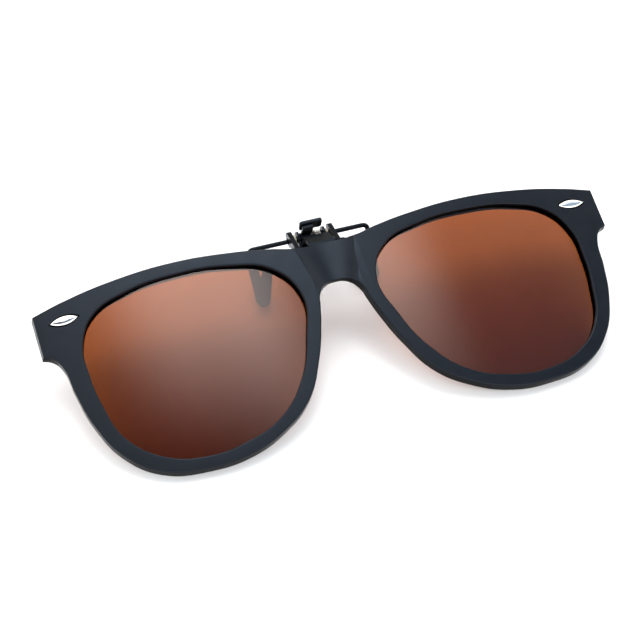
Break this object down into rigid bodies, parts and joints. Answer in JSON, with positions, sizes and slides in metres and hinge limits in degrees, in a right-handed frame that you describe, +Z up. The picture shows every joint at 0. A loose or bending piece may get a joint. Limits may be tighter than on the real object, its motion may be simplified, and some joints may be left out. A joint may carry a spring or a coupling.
{
  "type": "clip-on sunglasses",
  "caption": "Flip-up clip-on sunglasses: a black plastic front with brown tinted lenses, hinged to a sprung wire clip that grips the lenses of a pair of spectacles.",
  "frame": {"origin": "on the table under the middle of the object's bounding box, as it lies propped on its lower rims and its prong tips", "axes": "+X from the wearer's right lens to the left one as seen from the front, along the flip axis; +Y from the lower rims towards the brow and the clip; +Z up"},
  "size_m": [0.1446, 0.0594, 0.0199],
  "materials": {
    "plastic": "matte black moulded plastic",
    "lens_tint": "glossy transparent brown tint, coated",
    "polished_steel": "polished",
    "black_steel": "black lacquered steel",
    "steel": "bare spring and screw steel",
    "rubber": "dark grey soft sleeve",
    "nylon": "natural beige nylon"
  },
  "bodies": {
    "clip": {"clip_channel": "black_steel", "front_jaw_wire": "black_steel", "front_pad_left": "rubber", "front_pad_right": "rubber", "friction_bush_left": "nylon", "friction_bush_right": "nylon", "jaw_spring": "steel"},
    "front": {"front_frame": "plastic", "lens_left": "lens_tint", "lens_right": "lens_tint", "corner_rivet_left": "polished_steel", "corner_rivet_right": "polished_steel", "hinge_bracket": "black_steel", "bracket_screw_left": "steel", "bracket_screw_right": "steel"},
    "rear_jaw": {"rear_jaw_wire": "black_steel", "rear_pad_left": "rubber", "rear_pad_right": "rubber", "thumb_lever": "black_steel", "thumb_pad": "plastic"}
  },
  "joints": [
    {"name": "front_flip", "type": "hinge", "parent": "clip", "child": "front", "pos_m": [0, 0.02702, 0.01144], "axis": [1, 0, 0], "range_deg": [-58, 31]},
    {"name": "jaw_open", "type": "hinge", "parent": "clip", "child": "rear_jaw", "pos_m": [0, 0.02702, 0.01144], "axis": [1, 0, 0], "range_deg": [0, 24], "stiffness_Nm_per_rad": 0.03, "springref_deg": -28.65, "deforming": ["jaw_spring"]}
  ]
}
